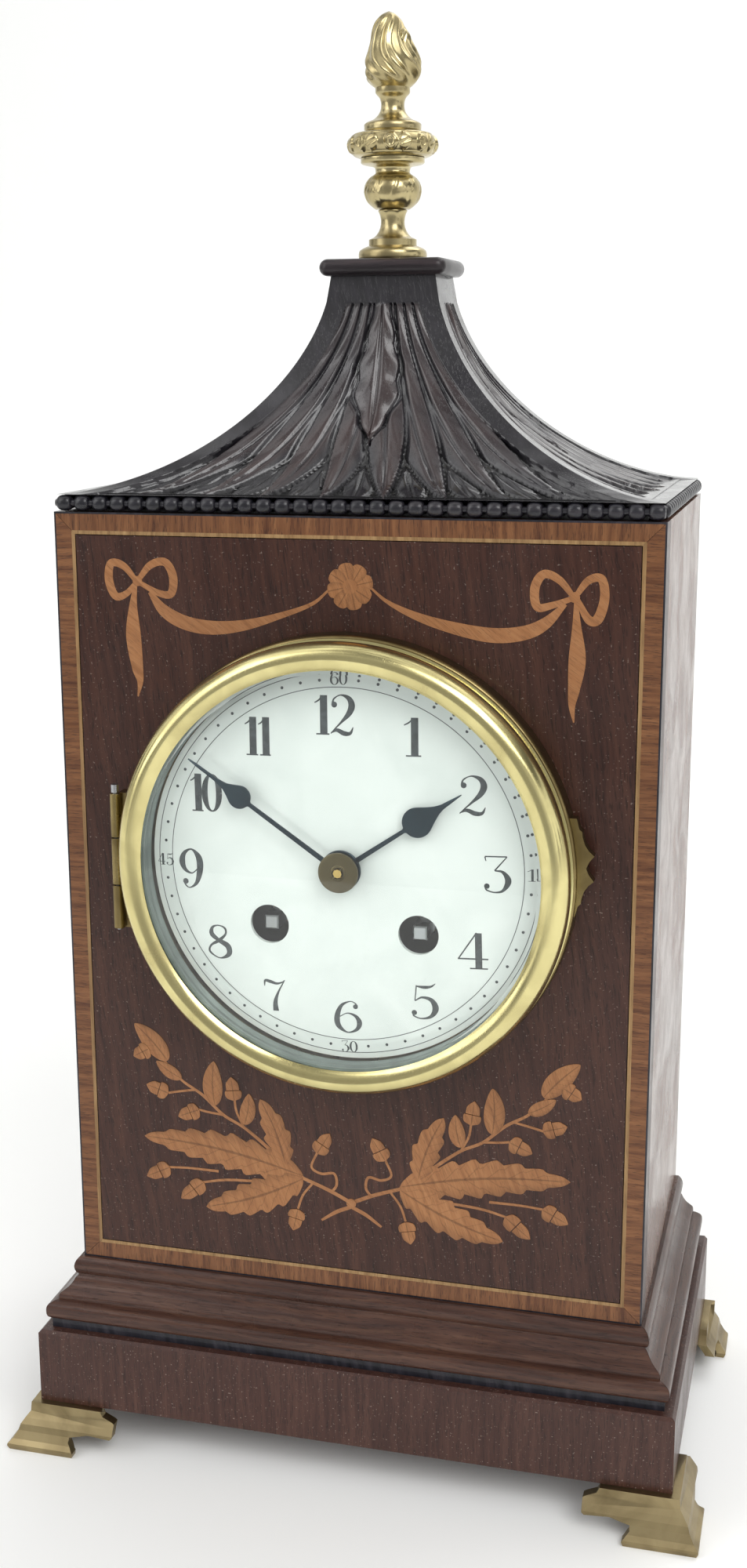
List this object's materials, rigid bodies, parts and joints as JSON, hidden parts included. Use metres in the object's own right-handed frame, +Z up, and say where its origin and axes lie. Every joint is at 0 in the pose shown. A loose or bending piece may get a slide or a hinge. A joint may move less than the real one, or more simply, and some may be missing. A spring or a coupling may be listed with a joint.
{
  "type": "bracket clock",
  "caption": "Bracket clock with a pagoda roof, inlaid mahogany case, round white dial in a hinged brass bezel, pendulum movement with bell strike, rear door and brass feet.",
  "frame": {"origin": "on the floor, under the middle of the outline of the whole clock with its doors shut", "axes": "+Z up; the dial faces -Y; +X is to the right for someone who looks at the dial"},
  "size_m": [0.1846, 0.117, 0.3701],
  "materials": {
    "mahogany": "polished figured mahogany veneer with fine dark flecks",
    "side_veneer": "glossy polished mahogany veneer",
    "crossband": "polished crossbanding, grain across the band",
    "plain_wood": "unpolished softwood",
    "ebonised": "ebonised, satin polish",
    "foot_brass": "cast, dulled by age",
    "brass": "polished and lacquered",
    "steel": "bright steel",
    "blued_steel": "dark blued steel",
    "silvered_metal": "silvered, satin",
    "dial_enamel": "glossy white vitreous enamel on copper",
    "glass": "clear flat glass with a bevelled edge"
  },
  "bodies": {
    "case": {"front_panel": "mahogany", "plinth": "mahogany", "base_moulding_front": "mahogany", "base_moulding_left": "mahogany", "base_moulding_right": "mahogany", "side_panel_left": "side_veneer", "side_panel_right": "side_veneer", "back_panel": "side_veneer", "crossband_frame": "crossband", "case_top": "plain_wood", "base_board": "plain_wood", "ebony_fillet": "ebonised", "bead_strip_front": "ebonised", "bead_strip_left": "ebonised", "bead_strip_right": "ebonised", "roof": "ebonised", "roof_cap": "ebonised", "foot_front_left": "foot_brass", "foot_front_right": "foot_brass", "foot_back_left": "foot_brass", "foot_back_right": "foot_brass", "finial_foot": "brass", "finial_knop": "brass", "finial_wreath": "brass", "finial_flame": "brass", "dial_ring": "brass", "front_plate": "brass", "back_plate": "brass", "suspension_cock": "brass", "bell": "brass", "bell_post": "brass", "strap_left": "brass", "strap_right": "brass", "back_ring": "brass", "finial_rod": "steel", "hinge_pin": "steel", "dial_plate": "dial_enamel"},
    "bezel": {"bezel": "brass", "bezel_glass": "glass", "sight_ring": "silvered_metal"},
    "back_door": {"back_door": "brass"},
    "minute": {"minute_hand": "blued_steel", "hand_collet": "brass", "centre_arbor": "brass", "cannon_pinion": "brass"},
    "hour": {"hour_hand": "blued_steel", "hour_wheel": "brass"},
    "minute_wheel": {"minute_wheel": "brass"},
    "intermediate": {"intermediate_wheel": "brass"},
    "going_barrel": {"going_barrel": "brass"},
    "third": {"third_wheel": "brass"},
    "escape": {"escape_wheel": "brass"},
    "going_winding": {"going_winding_arbor": "steel"},
    "strike_winding": {"strike_winding_arbor": "steel"},
    "strike_barrel": {"strike_barrel": "brass"},
    "pendulum": {"pendulum_rod": "steel", "pendulum_bob": "brass"},
    "pallets": {"pallets": "steel"},
    "hammer": {"hammer": "steel"}
  },
  "joints": [
    {"name": "bezel_hinge", "type": "hinge", "parent": "case", "child": "bezel", "pos_m": [-0.0588, -0.0474, 0.1645], "axis": [0, 0, -1], "range_deg": [0, 110]},
    {"name": "back_door_hinge", "type": "hinge", "parent": "case", "child": "back_door", "pos_m": [-0.0558, 0.0527, 0.1665], "axis": [0, 0, 1], "range_deg": [0, 110]},
    {"name": "minute_turn", "type": "hinge", "parent": "case", "child": "minute", "pos_m": [0, -0.0412, 0.1665], "axis": [0, 1, 0], "continuous": true},
    {"name": "hour_turn", "type": "hinge", "parent": "case", "child": "hour", "pos_m": [0, -0.0412, 0.1665], "axis": [0, 1, 0], "continuous": true},
    {"name": "minute_wheel_turn", "type": "hinge", "parent": "case", "child": "minute_wheel", "pos_m": [0, -0.0392, 0.1785], "axis": [0, 1, 0], "continuous": true},
    {"name": "intermediate_turn", "type": "hinge", "parent": "case", "child": "intermediate", "pos_m": [0.0157, -0.0212, 0.17066], "axis": [0, 1, 0], "continuous": true},
    {"name": "going_barrel_turn", "type": "hinge", "parent": "case", "child": "going_barrel", "pos_m": [0.0189, -0.0262, 0.1509], "axis": [0, 1, 0], "continuous": true},
    {"name": "third_turn", "type": "hinge", "parent": "case", "child": "third", "pos_m": [-0.00659, -0.0262, 0.18064], "axis": [0, 1, 0], "continuous": true},
    {"name": "escape_turn", "type": "hinge", "parent": "case", "child": "escape", "pos_m": [0, -0.0262, 0.19344], "axis": [0, 1, 0], "continuous": true},
    {"name": "going_winding_turn", "type": "hinge", "parent": "case", "child": "going_winding", "pos_m": [0.0189, -0.0262, 0.1509], "axis": [0, 1, 0], "continuous": true},
    {"name": "strike_winding_turn", "type": "hinge", "parent": "case", "child": "strike_winding", "pos_m": [-0.0189, -0.0262, 0.1509], "axis": [0, 1, 0], "continuous": true},
    {"name": "strike_barrel_turn", "type": "hinge", "parent": "case", "child": "strike_barrel", "pos_m": [-0.0189, -0.0262, 0.1509], "axis": [0, 1, 0], "continuous": true},
    {"name": "pendulum_swing", "type": "hinge", "parent": "case", "child": "pendulum", "pos_m": [0, 0.0028, 0.20444], "axis": [0, 1, 0], "range_deg": [-4, 4]},
    {"name": "pallet_swing", "type": "hinge", "parent": "case", "child": "pallets", "pos_m": [0, -0.0212, 0.20444], "axis": [0, 1, 0], "range_deg": [-4, 4]},
    {"name": "hammer_lift", "type": "hinge", "parent": "case", "child": "hammer", "pos_m": [0.038, -0.0212, 0.1745], "axis": [0, 1, 0], "range_deg": [0, 15]}
  ],
  "couplings": [
    {"joint": "hour_turn", "follows": "minute_turn", "ratio": 0.083333},
    {"joint": "minute_wheel_turn", "follows": "minute_turn", "ratio": -0.33333},
    {"joint": "intermediate_turn", "follows": "minute_turn", "ratio": -0.16667},
    {"joint": "going_barrel_turn", "follows": "minute_turn", "ratio": 0.033333},
    {"joint": "third_turn", "follows": "minute_turn", "ratio": -12},
    {"joint": "escape_turn", "follows": "minute_turn", "ratio": 168},
    {"joint": "pallet_swing", "follows": "pendulum_swing", "ratio": 1}
  ]
}
